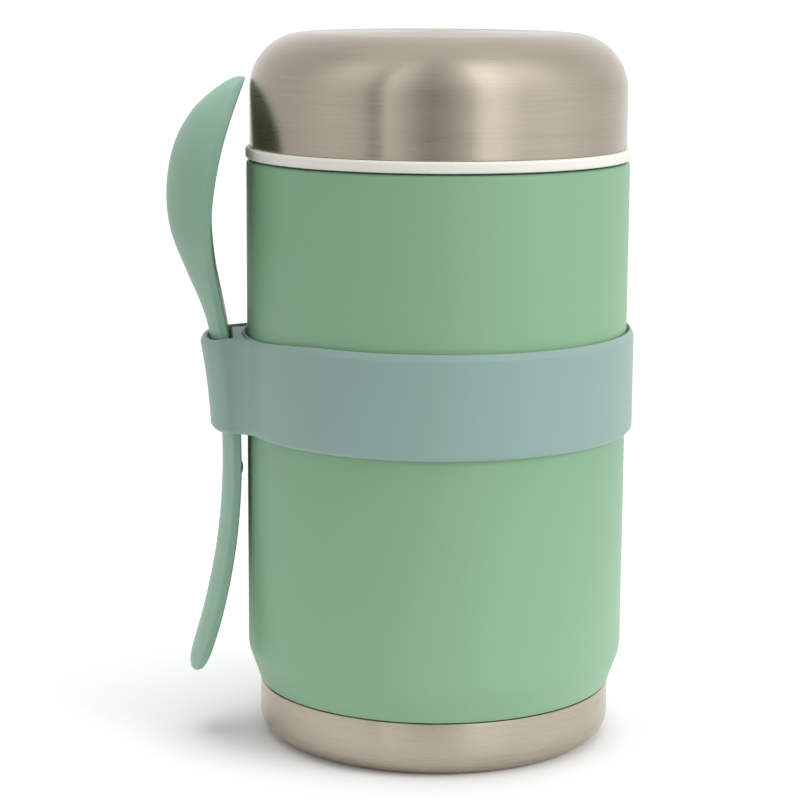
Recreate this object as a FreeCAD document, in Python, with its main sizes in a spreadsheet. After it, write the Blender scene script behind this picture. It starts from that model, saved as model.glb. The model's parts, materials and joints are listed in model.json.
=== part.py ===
import FreeCAD, Part
import math
import os
import re
import Sketcher

# Insulated food jar: a double-walled steel jar with a screw-in stopper, a screw-on cap,
# and a spoon carried in the pocket of a soft band. Millimetres, +Z up, the origin on the
# jar's axis at the plane it stands on, the spoon on the -X side.

SIZES = {
    # jar body
    "body_radius": 45.0,
    "body_top": 138.0,
    "body_top_round": 1.0,
    "shell_wall": 0.6,
    "shoulder_round": 9.0,
    "neck_inset": 5.4,
    "neck_radius": "=body_radius - neck_inset",
    "neck_root_round": 0.8,
    "neck_height": 14.0,
    "lip_top": "=body_top + neck_height",
    "lip_thickness": 0.7,
    # base
    "base_inset": 2.9,
    "base_radius": "=body_radius - base_inset",
    "base_height": 13.1,
    "base_round": 5.4,
    "base_wall": 0.6,
    "base_seam": 0.4,
    "shoulder_rise": 8.5,
    "shoulder_height": "=base_height + shoulder_rise",
    "foot_width": 2.5,
    "groove_width": 8.0,
    "groove_depth": 1.0,
    "groove_outer": "=base_radius - base_round - foot_width",
    "groove_inner": "=groove_outer - groove_width",
    "spigot_depth": 7.1,
    "spigot_bottom": "=base_height - spigot_depth",
    "end_plate_thickness": 0.8,
    "end_plate_rim": 18.1,
    "end_plate_dish_radius": "=base_radius - end_plate_rim",
    "end_plate_dish_depth": 1.5,
    "getter_radius": 8.0,
    "getter_thickness": 1.2,
    "seal_radius": 3.0,
    "seal_thickness": 1.0,
    # liner
    "liner_wall": 0.5,
    "vacuum_gap": 4.4,
    "liner_radius": "=body_radius - shell_wall - vacuum_gap - liner_wall",
    "floor_gap": 3.0,
    "getter_top": "=spigot_bottom + end_plate_dish_depth + end_plate_thickness + getter_thickness",
    "liner_floor": "=getter_top + floor_gap + liner_wall",
    "liner_floor_round": 9.0,
    "neck_gap": 1.1,
    "mouth_radius": "=neck_radius - shell_wall - neck_gap - liner_wall",
    "mouth_drop": 6.0,
    "mouth_bottom": "=body_top - mouth_drop",
    "liner_shoulder_drop": 5.0,
    # stopper
    "plug_gap": 1.1,
    "plug_radius": "=mouth_radius - plug_gap",
    "plug_wall": 1.6,
    "plug_drop": 2.0,
    "plug_bottom": "=mouth_bottom - plug_drop",
    "lip_inset": 0.4,
    "stopper_flange_radius": "=neck_radius - lip_inset",
    "stopper_flange_thickness": 1.6,
    "stopper_gasket_thickness": 1.4,
    "cover_thickness": 1.6,
    "cover_seat": "=lip_top + stopper_gasket_thickness + stopper_flange_thickness",
    "cover_top": "=cover_seat + cover_thickness",
    "recess_inset": 3.1,
    "recess_radius": "=plug_radius - plug_wall - cover_thickness - recess_inset",
    "recess_depth": 7.0,
    "recess_floor": "=cover_top - recess_depth",
    "grip_width": 15.0,
    # vent
    "button_radius": 5.2,
    "button_proud": 0.6,
    "button_height": 6.2,
    "button_top": "=cover_top + button_proud",
    "button_bottom": "=button_top - button_height",
    "stem_radius": 1.6,
    "vent_tube_wall": 1.8,
    "dome_height": 8.0,
    "vent_ledge": "=button_bottom - dome_height",
    "vent_hole_radius": 2.2,
    "vent_seal_radius": 4.6,
    "vent_seal_thickness": 1.6,
    "dome_wall": 0.6,
    # cap
    "cap_inset": 0.8,
    "cap_radius": "=body_radius - cap_inset",
    "cap_height": 29.8,
    "cap_top": "=body_top + cap_height",
    "cap_crown": 0.5,
    "cap_round": 13.0,
    "cap_wall": 0.5,
    "flange_overhang": 0.2,
    "flange_radius": "=body_radius + flange_overhang",
    "flange_gap": 0.4,
    "flange_thickness": 2.6,
    "flange_round": 0.5,
    "thread_gap": 1.3,
    "skirt_radius": "=neck_radius + thread_gap",
    "skirt_wall": 1.6,
    "ceiling_gap": 2.4,
    "cap_ceiling": "=cover_top + ceiling_gap",
    "cap_ceiling_thickness": 1.6,
    "cap_gasket_thickness": 0.9,
    # band
    "band_drop": 63.2,
    "band_bottom": "=body_top - band_drop",
    "band_height": 24.1,
    "band_wall": 1.6,
    "band_fit": 0.1,
    "pocket_wall": 2.2,
    "pocket_corner": 4.5,
    "pocket_blend": 6.0,
    "pocket_drop": 3.0,
    # spoon
    "handle_inner_radius": 152.9,
    "handle_stand_off": 1.9,
    "sweep_centre": "=body_radius + handle_stand_off + handle_inner_radius",
    "sweep_drop": 69.95,
    "sweep_height": "=body_top - sweep_drop",
    "handle_thickness": 4.5,
    "handle_width": 20.0,
    "handle_end_angle": 20.6,
    "neck_angle": 11.6,
    "bowl_width": 35.0,
    "bowl_depth": 11.2,
    "bowl_wall": 2.0,
    "rim_radius": 80.0,
    "rim_low_angle": 16.2,
    "rim_high_angle": 26.0,
    "catch_height": 0.45,
    "catch_width": 8.0,
    "catch_drop": 1.5,
    # clearances
    "soft_gap": 0.3,
    "slot_gap": 0.35,
    "running_gap": 0.05,
}

doc = FreeCAD.newDocument("food_jar")
sheet = doc.addObject("Spreadsheet::Sheet", "sizes")
for row, (alias, size) in enumerate(SIZES.items(), start=1):
    sheet.set(f"A{row}", alias)
    sheet.set(f"B{row}", str(size))
    sheet.setAlias(f"B{row}", alias)
doc.recompute()


def formula(text):
    """An expression in size names, written for the sheet."""
    return re.sub(r"[a-z][a-z_]+", lambda word: "sizes." + word.group(0), text)


def value(text):
    """The number that an expression in size names has now."""
    return float(sheet.evalExpression(formula(text)))


def plane(body, role):
    """One of the body's own origin planes."""
    return next(feature for feature in body.Origin.OriginFeatures if feature.Role == role)


def new_sketch(body, name, role, offset=None):
    sketch = body.newObject("Sketcher::SketchObject", name)
    sketch.AttachmentSupport = [(plane(body, role), "")]
    sketch.MapMode = "FlatFace"
    if offset is not None:
        sketch.AttachmentOffset = offset
    return sketch


def tie(sketch, kind, geometry, point, text, sign):
    """Hold one coordinate of a sketch point at an expression in size names."""
    ends = (-1, 1, geometry, point) if sign > 0 else (geometry, point, -1, 1)
    number = sketch.addConstraint(Sketcher.Constraint(kind, *ends, abs(value(text))))
    bound = formula(text) if sign > 0 else "-(" + formula(text) + ")"
    sketch.setExpression(f"Constraints[{number}]", bound)


def draw_outline(sketch, corners):
    """A closed outline of straight lines whose corners are held by expressions."""
    points = [FreeCAD.Vector(value(across), value(up), 0) for across, up in corners]
    count = len(points)
    for index in range(count):
        sketch.addGeometry(Part.LineSegment(points[index], points[(index + 1) % count]), False)
    for index in range(count):
        sketch.addConstraint(Sketcher.Constraint("Coincident", index, 2, (index + 1) % count, 1))
    for index, (across, up) in enumerate(corners):
        if across == "0":
            sketch.addConstraint(Sketcher.Constraint("PointOnObject", index, 1, -2))
        else:
            tie(sketch, "DistanceX", index, 1, across, math.copysign(1, points[index].x))
        if up == "0":
            sketch.addConstraint(Sketcher.Constraint("PointOnObject", index, 1, -1))
        else:
            tie(sketch, "DistanceY", index, 1, up, math.copysign(1, points[index].y))


def ring_edge(feature, across, up):
    """The name of the circular edge with this radius about Z at this height."""
    radius = value(across)
    height = value(up)
    for number, edge in enumerate(feature.Shape.Edges, start=1):
        curve = edge.Curve
        if isinstance(curve, Part.Circle) and abs(curve.Radius - radius) < 0.01:
            if abs(curve.Center.z - height) < 0.01 and math.hypot(curve.Center.x, curve.Center.y) < 0.01:
                return f"Edge{number}"
    raise ValueError(f"no ring edge at {across}, {up}")


def round_edges(body, rounds):
    """Fillet ring edges: each entry is a radius and the corners that get it."""
    for radius, corners in rounds:
        base = body.Tip
        fillet = body.newObject("PartDesign::Fillet", body.Name + "_round")
        fillet.Base = (base, [ring_edge(base, across, up) for across, up in corners])
        fillet.Radius = value(radius)
        fillet.setExpression("Radius", formula(radius))
        base.Visibility = False
        doc.recompute()


def turned(name, corners, rounds=()):
    """A body turned about the jar's axis from its half section."""
    body = doc.addObject("PartDesign::Body", name)
    body.Label = name
    profile = new_sketch(body, name + "_section", "XZ_Plane")
    draw_outline(profile, corners)
    turn = body.newObject("PartDesign::Revolution", name + "_turn")
    turn.Profile = profile
    turn.ReferenceAxis = (profile, ["V_Axis"])
    turn.Angle = 360
    doc.recompute()
    round_edges(body, rounds)
    return body


def cut_volume(body, feature):
    """Check that the feature took material away."""
    doc.recompute()
    before = feature.BaseFeature.Shape.Volume
    if feature.Shape.Volume > before - 0.01:
        raise ValueError(f"{feature.Name} cut nothing")


# Jar: outer shell, end plate, getter, seal, base cup and liner

SPIGOT = "base_radius - base_wall - running_gap"
SEAM_TOP = "base_height + base_seam"


def make_outer_shell():
    inner_top = "body_top - shell_wall"
    corners = [
        (SPIGOT, "spigot_bottom"),
        (SPIGOT, SEAM_TOP),
        ("base_radius", SEAM_TOP),
        ("body_radius", "shoulder_height"),
        ("body_radius", "body_top"),
        ("neck_radius", "body_top"),
        ("neck_radius", "lip_top - lip_thickness"),
        ("neck_radius - shell_wall", "lip_top - lip_thickness"),
        ("neck_radius - shell_wall", inner_top),
        ("body_radius - shell_wall", inner_top),
        ("body_radius - shell_wall", "shoulder_height"),
        (SPIGOT + " - shell_wall", SEAM_TOP + " + shell_wall"),
        (SPIGOT + " - shell_wall", "spigot_bottom"),
    ]
    rounds = [
        ("shoulder_round", [("body_radius", "shoulder_height")]),
        ("shoulder_round", [("body_radius - shell_wall", "shoulder_height")]),
        ("body_top_round", [("body_radius", "body_top")]),
        ("neck_root_round", [("neck_radius", "body_top")]),
    ]
    return turned("outer_shell", corners, rounds)


def make_end_plate():
    edge = SPIGOT + " - shell_wall - running_gap"
    low = "spigot_bottom"
    rise = "spigot_bottom + end_plate_dish_depth"
    corners = [
        ("0", rise),
        ("end_plate_dish_radius", rise),
        ("end_plate_dish_radius + end_plate_dish_depth", low),
        (edge, low),
        (edge, low + " + end_plate_thickness"),
        ("end_plate_dish_radius + end_plate_dish_depth", low + " + end_plate_thickness"),
        ("end_plate_dish_radius", rise + " + end_plate_thickness"),
        ("0", rise + " + end_plate_thickness"),
    ]
    return turned("shell_end_plate", corners)


def make_getter():
    seat = "spigot_bottom + end_plate_dish_depth + end_plate_thickness"
    corners = [
        ("0", seat),
        ("getter_radius", seat),
        ("getter_radius", seat + " + getter_thickness"),
        ("0", seat + " + getter_thickness"),
    ]
    return turned("getter", corners)


def make_vacuum_seal():
    seat = "spigot_bottom + end_plate_dish_depth"
    corners = [
        ("0", seat + " - seal_thickness"),
        ("seal_radius * 0.7", seat + " - seal_thickness"),
        ("seal_radius", seat),
        ("0", seat),
    ]
    return turned("vacuum_seal", corners)


def make_base_cup():
    groove_top = "groove_depth + base_wall"
    corners = [
        ("0", "0"),
        ("groove_inner", "0"),
        ("groove_inner + groove_depth", "groove_depth"),
        ("groove_outer - groove_depth", "groove_depth"),
        ("groove_outer", "0"),
        ("base_radius", "0"),
        ("base_radius", "base_height"),
        ("base_radius - base_wall", "base_height"),
        ("base_radius - base_wall", "base_wall"),
        ("groove_outer", "base_wall"),
        ("groove_outer - groove_depth", groove_top),
        ("groove_inner + groove_depth", groove_top),
        ("groove_inner", "base_wall"),
        ("0", "base_wall"),
    ]
    rounds = [
        ("base_round", [("base_radius", "0")]),
        ("base_round - base_wall", [("base_radius - base_wall", "base_wall")]),
    ]
    return turned("base_cup", corners, rounds)


def make_inner_liner():
    skin = "liner_radius + liner_wall"
    neck_skin = "mouth_radius + liner_wall"
    corners = [
        ("0", "liner_floor - liner_wall"),
        (skin, "liner_floor - liner_wall"),
        (skin, "mouth_bottom - liner_shoulder_drop"),
        (neck_skin, "mouth_bottom"),
        (neck_skin, "lip_top - lip_thickness"),
        ("neck_radius", "lip_top - lip_thickness"),
        ("neck_radius", "lip_top"),
        ("mouth_radius", "lip_top"),
        ("mouth_radius", "mouth_bottom"),
        ("liner_radius", "mouth_bottom - liner_shoulder_drop"),
        ("liner_radius", "liner_floor"),
        ("0", "liner_floor"),
    ]
    rounds = [
        ("liner_floor_round + liner_wall", [(skin, "liner_floor - liner_wall")]),
        ("liner_floor_round", [("liner_radius", "liner_floor")]),
    ]
    return turned("inner_liner", corners, rounds)


# Stopper: plug, gasket, foam core, cover with its grip, and the vent

GASKET_TOP = "lip_top + stopper_gasket_thickness"
PLUG_INNER = "plug_radius - plug_wall"
TUBE_OUTER = "button_radius + vent_tube_wall"
PLUG_FLOOR = "plug_bottom + plug_wall"
DISH_BOTTOM = "recess_floor - cover_thickness"


def make_stopper_gasket():
    inner = "plug_radius + soft_gap + plug_wall / 2"
    corners = [
        (inner, "lip_top"),
        ("stopper_flange_radius", "lip_top"),
        ("stopper_flange_radius", GASKET_TOP),
        (inner, GASKET_TOP),
    ]
    return turned("stopper_gasket", corners)


def make_stopper_body():
    tube_top = DISH_BOTTOM + " - soft_gap"
    corners = [
        ("vent_hole_radius", "plug_bottom"),
        ("plug_radius", "plug_bottom"),
        ("plug_radius", GASKET_TOP),
        ("stopper_flange_radius", GASKET_TOP),
        ("stopper_flange_radius", "cover_seat"),
        (PLUG_INNER, "cover_seat"),
        (PLUG_INNER, PLUG_FLOOR),
        (TUBE_OUTER, PLUG_FLOOR),
        (TUBE_OUTER, tube_top),
        ("button_radius", tube_top),
        ("button_radius", "vent_ledge"),
        ("vent_hole_radius", "vent_ledge"),
    ]
    return turned("stopper_body", corners)


def make_stopper_core():
    corners = [
        (TUBE_OUTER + " + soft_gap", PLUG_FLOOR),
        (PLUG_INNER + " - soft_gap", PLUG_FLOOR),
        (PLUG_INNER + " - soft_gap", DISH_BOTTOM + " - soft_gap"),
        (TUBE_OUTER + " + soft_gap", DISH_BOTTOM + " - soft_gap"),
    ]
    return turned("stopper_core", corners)


def make_stopper_cover():
    bore = "button_radius + running_gap"
    wall_outer = "recess_radius + cover_thickness"
    corners = [
        (bore, DISH_BOTTOM),
        (wall_outer, DISH_BOTTOM),
        (wall_outer, "cover_seat"),
        ("stopper_flange_radius - soft_gap", "cover_seat"),
        ("stopper_flange_radius - soft_gap", "cover_top"),
        ("recess_radius", "cover_top"),
        ("recess_radius", "recess_floor"),
        (bore, "recess_floor"),
    ]
    body = turned("stopper_cover", corners)
    reach = value("recess_radius + cover_thickness / 2")
    half = value("grip_width / 2")
    floor = FreeCAD.Placement(FreeCAD.Vector(0, 0, value("recess_floor")), FreeCAD.Rotation())
    outline = new_sketch(body, "grip_outline", "XY_Plane", floor)
    outline.setExpression("AttachmentOffset.Base.z", formula("recess_floor"))
    across = math.sqrt(reach**2 - half**2)
    ends = [(-across, -half), (across, -half), (across, half), (-across, half)]
    points = [FreeCAD.Vector(x, y, 0) for x, y in ends]
    outline.addGeometry(Part.LineSegment(points[0], points[1]), False)
    outline.addGeometry(Part.Arc(points[1], FreeCAD.Vector(reach, 0, 0), points[2]), False)
    outline.addGeometry(Part.LineSegment(points[2], points[3]), False)
    outline.addGeometry(Part.Arc(points[3], FreeCAD.Vector(-reach, 0, 0), points[0]), False)
    hole = Part.Circle(FreeCAD.Vector(), FreeCAD.Vector(0, 0, 1), value(bore))
    outline.addGeometry(hole, False)
    grip = body.newObject("PartDesign::Pad", "grip_bar")
    grip.Profile = outline
    grip.Length = value("cover_top - recess_floor")
    grip.setExpression("Length", formula("cover_top - recess_floor"))
    doc.recompute()
    return body


def make_vent_button():
    corners = [
        ("0", "button_bottom"),
        ("button_radius", "button_bottom"),
        ("button_radius", "button_top"),
        ("0", "button_top"),
    ]
    rounds = [("flange_round", [("button_radius", "button_top")])]
    return turned("vent_button", corners, rounds)


def make_vent_stem():
    corners = [
        ("0", "plug_bottom"),
        ("stem_radius", "plug_bottom"),
        ("stem_radius", "button_bottom"),
        ("0", "button_bottom"),
    ]
    return turned("vent_stem", corners)


def make_vent_seal():
    corners = [
        ("0", "plug_bottom - vent_seal_thickness"),
        ("vent_seal_radius * 0.8", "plug_bottom - vent_seal_thickness"),
        ("vent_seal_radius", "plug_bottom"),
        ("0", "plug_bottom"),
    ]
    return turned("vent_seal", corners)


def make_vent_dome():
    foot = "button_radius - soft_gap"
    head = "stem_radius + soft_gap + dome_wall"
    corners = [
        (foot + " - dome_wall", "vent_ledge"),
        (foot, "vent_ledge"),
        (head, "button_bottom"),
        (head + " - dome_wall", "button_bottom"),
    ]
    return turned("vent_return_dome", corners)


# Cap: steel shell, liner with the pale flange, foam disc and gasket

FLANGE_BOTTOM = "body_top + flange_gap"
FLANGE_TOP = FLANGE_BOTTOM + " + flange_thickness"
SHELL_INNER = "cap_radius - cap_wall"
CAP_EDGE = "cap_top - cap_crown"


def make_cap_shell():
    corners = [
        (SHELL_INNER, FLANGE_TOP),
        ("cap_radius", FLANGE_TOP),
        ("cap_radius", CAP_EDGE),
        ("0", "cap_top"),
        ("0", "cap_top - cap_wall"),
        (SHELL_INNER, CAP_EDGE + " - cap_wall"),
    ]
    rounds = [
        ("cap_round", [("cap_radius", CAP_EDGE)]),
        ("cap_round - cap_wall", [(SHELL_INNER, CAP_EDGE + " - cap_wall")]),
    ]
    return turned("cap_shell", corners, rounds)


def make_cap_liner():
    skirt_outer = "skirt_radius + skirt_wall"
    gasket_seat = "body_top + cap_gasket_thickness"
    ceiling_top = "cap_ceiling + cap_ceiling_thickness"
    corners = [
        ("skirt_radius", gasket_seat),
        (skirt_outer, gasket_seat),
        (skirt_outer, FLANGE_BOTTOM),
        ("flange_radius", FLANGE_BOTTOM),
        ("flange_radius", FLANGE_TOP),
        (skirt_outer, FLANGE_TOP),
        (skirt_outer, ceiling_top + " - skirt_wall"),
        (skirt_outer + " - skirt_wall", ceiling_top),
        ("0", ceiling_top),
        ("0", "cap_ceiling"),
        ("skirt_radius", "cap_ceiling"),
    ]
    rounds = [("flange_round", [("flange_radius", FLANGE_BOTTOM), ("flange_radius", FLANGE_TOP)])]
    return turned("cap_liner", corners, rounds)


def make_cap_insulation():
    """A foam disc, coned so that it clears the shell's rounded corner."""
    low = "cap_ceiling + cap_ceiling_thickness"
    top = CAP_EDGE + " - cap_wall - soft_gap"
    corners = [
        ("0", low),
        (SHELL_INNER + " - cap_round / 5", low),
        (SHELL_INNER + " - cap_round", top),
        ("0", top),
    ]
    return turned("cap_insulation", corners)


def make_cap_gasket():
    inner = "skirt_radius + flange_gap / 2"
    outer = "skirt_radius + skirt_wall"
    corners = [
        (inner, "body_top"),
        (outer, "body_top"),
        (outer, "body_top + cap_gasket_thickness"),
        (inner, "body_top + cap_gasket_thickness"),
    ]
    return turned("cap_gasket", corners)


# Band: a soft ring with a pocket whose slot follows the arc of the spoon's handle

BAND_TOP = "band_bottom + band_height"
BAND_INNER = "body_radius + band_fit"
BAND_OUTER = BAND_INNER + " + band_wall"


def handle_point(radius, angle):
    """A point in the plane y = 0, given from the centre that the handle's arc is drawn about."""
    turn = math.radians(angle)
    across = radius * math.cos(turn) - value("sweep_centre")
    return FreeCAD.Vector(across, 0, value("sweep_height") + radius * math.sin(turn))


def slot_outer_at(height):
    """Where the slot's outer wall lies at this height."""
    radius = value("handle_inner_radius - handle_thickness - slot_gap")
    rise = height - value("sweep_height")
    return math.sqrt(radius**2 - rise**2) - value("sweep_centre")


def pocket_outline(sketch, height):
    """The pocket seen from above: a rounded end, two side walls and their blends into the ring."""
    end = slot_outer_at(height) - value("pocket_wall")
    side = value("handle_width / 2 + slot_gap + pocket_wall")
    corner = value("pocket_corner")
    blend = value("pocket_blend")
    meet = value(BAND_OUTER) - value("band_fit")
    blend_y = side + blend
    blend_x = -math.sqrt((meet + blend) ** 2 - blend_y**2)
    share = meet / (meet + blend)
    ring = FreeCAD.Vector(blend_x * share, blend_y * share, 0)
    middle_turn = (math.atan2(-blend_y, -blend_x) - math.pi / 2) / 2
    blend_middle = FreeCAD.Vector(
        blend_x + blend * math.cos(middle_turn), blend_y + blend * math.sin(middle_turn), 0
    )
    wall = FreeCAD.Vector(blend_x, side, 0)
    turn_in = FreeCAD.Vector(end + corner, side, 0)
    diagonal = corner * math.sqrt(0.5)
    turn_middle = FreeCAD.Vector(end + corner - diagonal, side - corner + diagonal, 0)
    turn_out = FreeCAD.Vector(end, side - corner, 0)

    def mirrored(point):
        return FreeCAD.Vector(point.x, -point.y, 0)

    sketch.addGeometry(Part.LineSegment(mirrored(ring), ring), False)
    sketch.addGeometry(Part.Arc(ring, blend_middle, wall), False)
    sketch.addGeometry(Part.LineSegment(wall, turn_in), False)
    sketch.addGeometry(Part.Arc(turn_in, turn_middle, turn_out), False)
    sketch.addGeometry(Part.LineSegment(turn_out, mirrored(turn_out)), False)
    sketch.addGeometry(Part.Arc(mirrored(turn_out), mirrored(turn_middle), mirrored(turn_in)), False)
    sketch.addGeometry(Part.LineSegment(mirrored(turn_in), mirrored(wall)), False)
    sketch.addGeometry(Part.Arc(mirrored(wall), mirrored(blend_middle), mirrored(ring)), False)


def swept_slot(body, name, inner_radius, outer_radius, half_width):
    """Cut a slot along the handle's arc, from below the band to above it."""
    level = FreeCAD.Placement(FreeCAD.Vector(0, 0, value("sweep_height")), FreeCAD.Rotation())
    section = new_sketch(body, name + "_section", "XY_Plane", level)
    section.setExpression("AttachmentOffset.Base.z", formula("sweep_height"))
    centre = value("sweep_centre")
    left = inner_radius - centre
    right = outer_radius - centre
    ends = [(left, -half_width), (right, -half_width), (right, half_width), (left, half_width)]
    points = [FreeCAD.Vector(x, y, 0) for x, y in ends]
    for index, point in enumerate(points):
        section.addGeometry(Part.LineSegment(point, points[(index + 1) % len(points)]), False)
    axis = Part.LineSegment(FreeCAD.Vector(-centre, 0, 0), FreeCAD.Vector(-centre, 1, 0))
    section.addGeometry(axis, True)
    slot = body.newObject("PartDesign::Groove", name)
    slot.Profile = section
    slot.ReferenceAxis = (section, ["Axis0"])
    slot.Angle = math.degrees(math.asin((value(BAND_TOP) + 1 - value("sweep_height")) / inner_radius))
    slot.Reversed = True
    cut_volume(body, slot)
    return slot


def make_band():
    corners = [
        (BAND_INNER, "band_bottom"),
        (BAND_OUTER, "band_bottom"),
        (BAND_OUTER, BAND_TOP),
        (BAND_INNER, BAND_TOP),
    ]
    body = turned("band", corners)
    outlines = []
    for name, height in (("pocket_foot", "band_bottom"), ("pocket_rim", BAND_TOP)):
        level = FreeCAD.Placement(FreeCAD.Vector(0, 0, value(height)), FreeCAD.Rotation())
        outline = new_sketch(body, name, "XY_Plane", level)
        outline.setExpression("AttachmentOffset.Base.z", formula(height))
        pocket_outline(outline, value(height))
        outlines.append(outline)
    block = body.newObject("PartDesign::AdditiveLoft", "pocket_block")
    block.Profile = outlines[0]
    block.Sections = [outlines[1]]
    block.Ruled = True
    doc.recompute()

    level = FreeCAD.Placement(FreeCAD.Vector(0, 0, value("band_bottom")), FreeCAD.Rotation())
    circle = new_sketch(body, "band_bore_outline", "XY_Plane", level)
    circle.setExpression("AttachmentOffset.Base.z", formula("band_bottom"))
    rim = circle.addGeometry(Part.Circle(FreeCAD.Vector(), FreeCAD.Vector(0, 0, 1), value(BAND_INNER)), False)
    circle.addConstraint(Sketcher.Constraint("Coincident", rim, 3, -1, 1))
    number = circle.addConstraint(Sketcher.Constraint("Radius", rim, value(BAND_INNER)))
    circle.setExpression(f"Constraints[{number}]", formula(BAND_INNER))
    bore = body.newObject("PartDesign::Pocket", "band_bore")
    bore.Profile = circle
    bore.Length = value("band_height")
    bore.setExpression("Length", formula("band_height"))
    bore.Reversed = True
    cut_volume(body, bore)

    gap = value("slot_gap")
    inner = value("handle_inner_radius - handle_thickness")
    outer = value("handle_inner_radius")
    half = value("handle_width / 2")
    swept_slot(body, "spoon_slot", inner - gap, outer + gap, half + gap)
    catch_reach = outer + value("catch_height") + gap
    swept_slot(body, "catch_slot", outer, catch_reach, value("catch_width / 2") + gap)

    # The pocket's rim falls away from the ring to its outer end
    profile = new_sketch(body, "rim_slope_section", "XZ_Plane")
    start = -value(BAND_OUTER)
    end = slot_outer_at(value(BAND_TOP)) - value("pocket_wall + pocket_corner")
    top = value(BAND_TOP)
    reach = start - end
    drop = value("pocket_drop") * reach / (reach - value("pocket_corner"))
    points = [
        FreeCAD.Vector(start, top, 0),
        FreeCAD.Vector(end, top - drop, 0),
        FreeCAD.Vector(end, top + 1, 0),
        FreeCAD.Vector(start, top + 1, 0),
    ]
    for index, point in enumerate(points):
        profile.addGeometry(Part.LineSegment(point, points[(index + 1) % len(points)]), False)
    slope = body.newObject("PartDesign::Pocket", "rim_slope")
    slope.Profile = profile
    slope.Length = value("body_radius")
    slope.Midplane = True
    cut_volume(body, slope)
    return body


# Spoon: one loft from the handle's end to the bowl's tip, hollowed, with its catch

# Share of the bowl's length, of its half width and of its depth, and the wall in shares
# of the bowl's own wall
BOWL_STATIONS = [
    (0.12, 0.58, 0.45, 2.4),
    (0.25, 0.71, 0.62, 1.9),
    (0.40, 0.90, 0.87, 1.2),
    (0.55, 0.99, 0.99, 1.0),
    (0.70, 0.97, 0.99, 1.0),
    (0.82, 0.85, 0.88, 1.0),
    (0.91, 0.65, 0.67, 1.0),
    (0.97, 0.40, 0.40, 0.9),
    (1.00, 0.16, 0.13, 0.9),
]

# Share of the handle's arc counted from its end, of its half width and of its thickness
HANDLE_STATIONS = [
    (0.00, 0.30, 0.35),
    (0.03, 0.62, 0.75),
    (0.09, 0.88, 0.97),
    (0.20, 0.98, 1.00),
    (0.50, 1.00, 1.00),
    (0.80, 1.00, 1.00),
    (1.00, 1.00, 1.00),
]


def spoon_section(body, name, inner, outward, depth, half_width, lead=0.0):
    """A bowed section: a chord across the spoon and an arc over its back."""
    tilt = math.degrees(math.atan2(outward.z, -outward.x))
    turn = FreeCAD.Rotation(FreeCAD.Vector(0, 1, 0), tilt)
    sketch = new_sketch(body, name, "XY_Plane", FreeCAD.Placement(inner, turn))
    low = FreeCAD.Vector(lead, -half_width, 0)
    high = FreeCAD.Vector(lead, half_width, 0)
    sketch.addGeometry(Part.LineSegment(low, high), False)
    sketch.addGeometry(Part.Arc(high, FreeCAD.Vector(-depth, 0, 0), low), False)
    return sketch


def rim_point(share):
    """A point of the bowl's rim line and the outward direction there."""
    low = -value("rim_low_angle")
    turn = math.radians(low + share * (value("rim_high_angle") - low))
    outward = FreeCAD.Vector(-math.cos(turn), 0, math.sin(turn))
    neck = handle_point(value("handle_inner_radius"), value("neck_angle"))
    start = math.radians(low)
    first = FreeCAD.Vector(-math.cos(start), 0, math.sin(start))
    return neck + (outward - first) * value("rim_radius"), outward


def make_spoon():
    body = doc.addObject("PartDesign::Body", "spoon")
    body.Label = "spoon"
    half_handle = value("handle_width / 2")
    thickness = value("handle_thickness")
    low = -value("handle_end_angle")
    sections = []
    for index, (share, width, depth) in enumerate(HANDLE_STATIONS):
        angle = low + share * (value("neck_angle") - low)
        middle = value("handle_inner_radius") - thickness * (1 - depth) / 2
        inner = handle_point(middle, angle)
        turn = math.radians(angle)
        outward = FreeCAD.Vector(-math.cos(turn), 0, -math.sin(turn))
        name = f"handle_section_{index}"
        sections.append(spoon_section(body, name, inner, outward, thickness * depth, half_handle * width))
    half_bowl = value("bowl_width / 2")
    for index, (share, width, depth, _) in enumerate(BOWL_STATIONS):
        inner, outward = rim_point(share)
        name = f"bowl_section_{index}"
        reach = value("bowl_depth") * depth
        sections.append(spoon_section(body, name, inner, outward, reach, half_bowl * width))
    loft = body.newObject("PartDesign::AdditiveLoft", "spoon_loft")
    loft.Profile = sections[0]
    loft.Sections = sections[1:]
    doc.recompute()

    wall = value("bowl_wall")
    lead = value("soft_gap")
    hollows = []
    for index, (share, width, depth, wall_share) in enumerate(BOWL_STATIONS[:-1]):
        inner, outward = rim_point(share)
        name = f"hollow_section_{index}"
        reach = max(value("bowl_depth") * depth - wall * wall_share, lead)
        half_width = max(half_bowl * width - wall * wall_share, lead)
        hollows.append(spoon_section(body, name, inner, outward, reach, half_width, lead))
    hollow = body.newObject("PartDesign::SubtractiveLoft", "spoon_hollow")
    hollow.Profile = hollows[0]
    hollow.Sections = hollows[1:]
    cut_volume(body, hollow)

    radius = value("handle_inner_radius")
    drop = value("catch_drop")
    root = value("handle_thickness / 2")
    peak = handle_point(radius + value("catch_height"), -drop)
    upper = handle_point(radius - root, -drop / 4)
    upper_face = handle_point(radius, -drop / 4)
    lower_face = handle_point(radius, -drop * 5 / 4)
    lower = handle_point(radius - root, -drop * 5 / 4)
    profile = new_sketch(body, "catch_section", "XZ_Plane")
    points = [FreeCAD.Vector(p.x, p.z, 0) for p in (upper, upper_face, peak, lower_face, lower)]
    for index, point in enumerate(points):
        profile.addGeometry(Part.LineSegment(point, points[(index + 1) % len(points)]), False)
    catch = body.newObject("PartDesign::Pad", "catch")
    catch.Profile = profile
    catch.Length = value("catch_width")
    catch.setExpression("Length", formula("catch_width"))
    catch.Midplane = True
    doc.recompute()
    return body


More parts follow.
